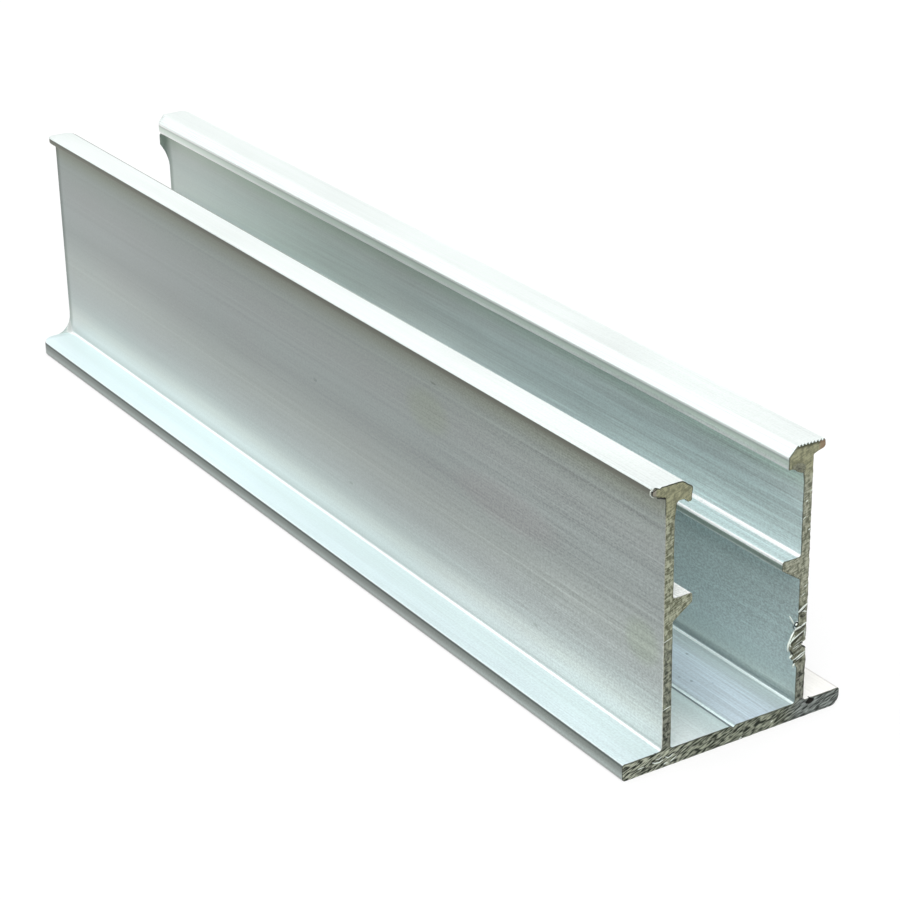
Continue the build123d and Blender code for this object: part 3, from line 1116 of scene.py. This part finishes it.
# The burr on the left lip, dark strips that close the pocket under the right nose, strips of painted shade in
# the left lip's corners, ridges on the left wall, bright flecks on the base and bright dots, each with its
# painted light as for the flakes.
THIN_BURRS = (
    (
        ((-15.2, 43.55, 0.0), (-15.6, 43.8, 0.1), (-15.84, 44.2, 0.12), (-15.84, 44.6, 0.12),
         (-15.6, 44.85, 0.1), (-15.2, 44.9, 0.0)),
        0.16, 0.12, 90, 0.68,
    ),
    (((-15.55, 44.1, 0.15), (-15.4, 44.4, 0.2), (-15.0, 44.6, 0.15), (-14.6, 44.68, 0.05)),
     0.26, 0.1, 30, 0.0),
    (((-14.6, 43.3, 0.05), (-13.95, 43.2, 0.12), (-13.3, 42.85, 0.05)), 0.36, 0.1, 30, 0.02),
    (((9.2, 41.7, -0.1), (10.0, 41.65, -0.08), (10.8, 41.45, -0.08), (11.6, 41.2, -0.1)), 1.1, 0.1, 5, 0.42),
    (((9.9, 41.25, -0.1), (10.6, 40.98, -0.08), (11.5, 40.45, -0.1)), 0.75, 0.1, 5, 0.36),
    (((-13.1, 20.4, 0.05), (-12.4, 20.6, 0.1), (-11.5, 20.95, 0.05)), 0.34, 0.12, 40, 0.72),
    (((-13.1, 9.45, 0.05), (-12.3, 9.65, 0.1), (-11.5, 9.8, 0.05)), 0.36, 0.12, 40, 0.85),
    (((-14.7, 1.45, 0.05), (-14.2, 1.2, 0.1), (-13.4, 1.12, 0.1), (-12.8, 1.35, 0.05)), 0.28, 0.1, 20, 1.0),
    (((-14.1, 1.75, 0.05), (-13.5, 1.7, 0.1), (-13.0, 1.95, 0.05)), 0.2, 0.1, 20, 0.9),
    (((-12.4, 1.7, 0.05), (-11.9, 1.35, 0.1), (-11.4, 1.5, 0.1), (-11.0, 1.8, 0.05)), 0.26, 0.1, 20, 1.0),
    (((-12.65, 0.55, 0.05), (-12.35, 0.62, 0.1), (-12.0, 0.6, 0.05)), 0.24, 0.1, 20, 1.0),
    (((-11.5, 0.6, 0.05), (-10.95, 0.88, 0.1), (-10.4, 1.15, 0.05)), 0.28, 0.1, 20, 1.0),
    (((-17.3, 1.2, 0.05), (-16.8, 1.25, 0.08), (-16.2, 1.3, 0.05)), 0.2, 0.08, 20, 0.9),
    (((1.05, 0.15, 0.05), (1.3, 0.22, 0.1), (1.55, 0.3, 0.05)), 0.22, 0.1, 20, 1.0),
    (((6.95, 1.0, 0.05), (7.1, 1.12, 0.08), (7.35, 1.2, 0.05)), 0.2, 0.08, 20, 1.0),
    (((12.65, 30.95, 0.05), (12.8, 31.05, 0.1), (12.95, 31.1, 0.05)), 0.34, 0.12, 20, 1.0),
    (((12.0, 35.6, 0.05), (12.1, 35.7, 0.1), (12.25, 35.8, 0.05)), 0.32, 0.12, 20, 1.0),
    (((12.75, 37.15, 0.05), (12.85, 37.2, 0.08), (13.0, 37.3, 0.05)), 0.22, 0.08, 20, 0.8),
    (((11.6, 32.9, 0.02), (11.75, 33.1, 0.06), (12.0, 33.25, 0.02)), 0.24, 0.08, 20, 0.9),
)


def burr_piece(name, strips, material):
    """Make one piece of many strips of torn metal."""
    shape = bmesh.new()
    painted_light_layer = shape.verts.layers.float.new("painted_light")
    for path, width, thickness, lean, painted_light in strips:
        strip(shape, painted_light_layer, path, width, thickness, radians(lean), painted_light)
    bmesh.ops.recalc_face_normals(shape, faces=shape.faces[:])
    piece = add_object(name, shape, [material])
    sharpen(piece.data, radians(60))
    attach(piece, "root")


def curled_chip(material):
    """A tiny roll of metal on the right wall, seen end on."""
    shape = bmesh.new()
    painted_light_layer = shape.verts.layers.float.new("painted_light")
    ring = bmesh.ops.create_circle(shape, segments=10, radius=0.09 * MM)["verts"]
    centre = before_cut(11.13, 16.04, 0.4)
    start = Matrix.Translation(centre + Vector((0.34 * MM, 0, 0))) @ Matrix.Rotation(radians(90), 4, "X")
    bmesh.ops.transform(shape, matrix=start, verts=ring)
    turn = {"cent": centre, "axis": (0, 1, 0), "angle": radians(360), "steps": 20}
    bmesh.ops.spin(shape, geom=shape.edges[:], use_merge=True, **turn)
    # The roll keeps its painted light at nought, which shows as near black painted shade. The bead inside it
    # is painted white as a highlight.
    bead = bmesh.ops.create_icosphere(shape, subdivisions=2, radius=0.21 * MM)["verts"]
    bmesh.ops.translate(shape, vec=centre + Vector((0, 0.12 * MM, 0)), verts=bead)
    for vert in bead:
        vert[painted_light_layer] = 1.0
    bmesh.ops.remove_doubles(shape, verts=shape.verts[:], dist=1e-7)
    bmesh.ops.recalc_face_normals(shape, faces=shape.faces[:])
    for face in shape.faces:
        face.smooth = True
    piece = add_object("curled_chip", shape, [material])
    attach(piece, "root")


def dressed_rail(mill, sawn, torn, pit_shade):
    """The rail as it shows: the CAD shape with its near end roughened, gouged and bitten."""
    shape = merged_copy("rail")
    for face in shape.faces:
        face.material_index = 1 if abs(face.normal.y) > 0.9 else 0
    rounded_far_end(shape)
    roughened_end(shape)
    rail = add_object("dressed_rail", shape, [mill, sawn, torn, pit_shade])
    carved(
        rail,
        [
            # Most blocks line their cuts with near black painted shade; one keeps the drawn finish.
            (facet_block((14.3, 0.2, 2.3), (1.0, 1.3, 0.52), 1.0, 1), pit_shade),
            (facet_block((14.72, -0.3, 3.1), (0.42, 0.6, 0.7), 4.0, 1), mill),
            (facet_block((13.05, 0.2, 12.35), (0.8, 1.6, 0.66), 7.0), pit_shade),
            (facet_block((-14.2, -0.1, 2.8), (0.26, 0.35, 0.4), 2.0, 1), pit_shade),
            (facet_block((-13.6, -0.1, 42.95), (0.5, 0.45, 0.27), 5.0), pit_shade),
            (facet_block((-15.65, -0.1, 44.4), (0.3, 0.4, 0.32), 6.0), pit_shade),
        ],
    )
    sharpen(rail.data)
    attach(rail, "root")
    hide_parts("rail")


# Floor, light and backdrop


def lay_floor():
    """A plain pale floor that shows white, with the rail's soft shadow on it."""
    material, tree, shader = new_material("pale_floor", 0.0, 0.9)
    shader.inputs["Base Color"].default_value = (0.28, 0.28, 0.28, 1)
    shader.inputs["Specular IOR Level"].default_value = 0.0
    path = tree.nodes.new("ShaderNodeLightPath").outputs
    seen = Signal(path["Is Camera Ray"]) + Signal(path["Is Glossy Ray"])
    seen = seen + Signal(path["Is Transmission Ray"])
    shader.inputs["Emission Color"].default_value = (1, 1, 1, 1)
    connect(seen * 0.72, shader.inputs["Emission Strength"])
    shape = bmesh.new()
    bmesh.ops.create_grid(shape, x_segments=1, y_segments=1, size=6.0)
    floor = add_object("floor", shape, [material])


def add_sun(name, strength, spread, direction):
    """Add one broad soft light that shines in the given direction."""
    lamp_data = bpy.data.lights.new(name, "SUN")
    lamp_data.energy = strength
    lamp_data.angle = radians(spread)
    lamp = bpy.data.objects.new(name, lamp_data)
    bpy.context.scene.collection.objects.link(lamp)
    lamp.rotation_mode = "QUATERNION"
    lamp.rotation_quaternion = Vector(direction).to_track_quat("-Z", "Y")


def set_light():
    """Broad soft lights from the left, behind, the right and the front, in a plain grey surround."""
    world = bpy.data.worlds.new("studio")
    world.use_nodes = True
    background = world.node_tree.nodes["Background"]
    background.inputs["Color"].default_value = (1, 1, 1, 1)
    background.inputs["Strength"].default_value = 0.32
    bpy.context.scene.world = world
    add_sun("left_light", 0.4, 80, (0.5, 0.2, -1.0))
    add_sun("back_light", 0.6, 90, (-0.3, -0.75, -0.7))
    add_sun("back_left_light", 0.6, 50, (0.47, -0.67, -0.55))
    add_sun("right_light", 0.6, 60, (-0.9, 0.0, -0.6))
    add_sun("front_light", 2.2, 60, (0.45, 0.8, -0.85))


set_camera()
lay_floor()
set_light()
bpy.context.scene.view_settings.view_transform = "Standard"

mill = mill_finish(die_line_group(), single_line_group(), spot_group())
sawn = sawn_end(saw_mark_group())
torn = torn_metal()
pit_shade = painted_pit_shade()

dressed_rail(mill, sawn, torn, pit_shade)
burr_piece("web_flakes", WEB_FLAKES, torn)
burr_piece("thin_burrs", THIN_BURRS, torn)
curled_chip(torn)
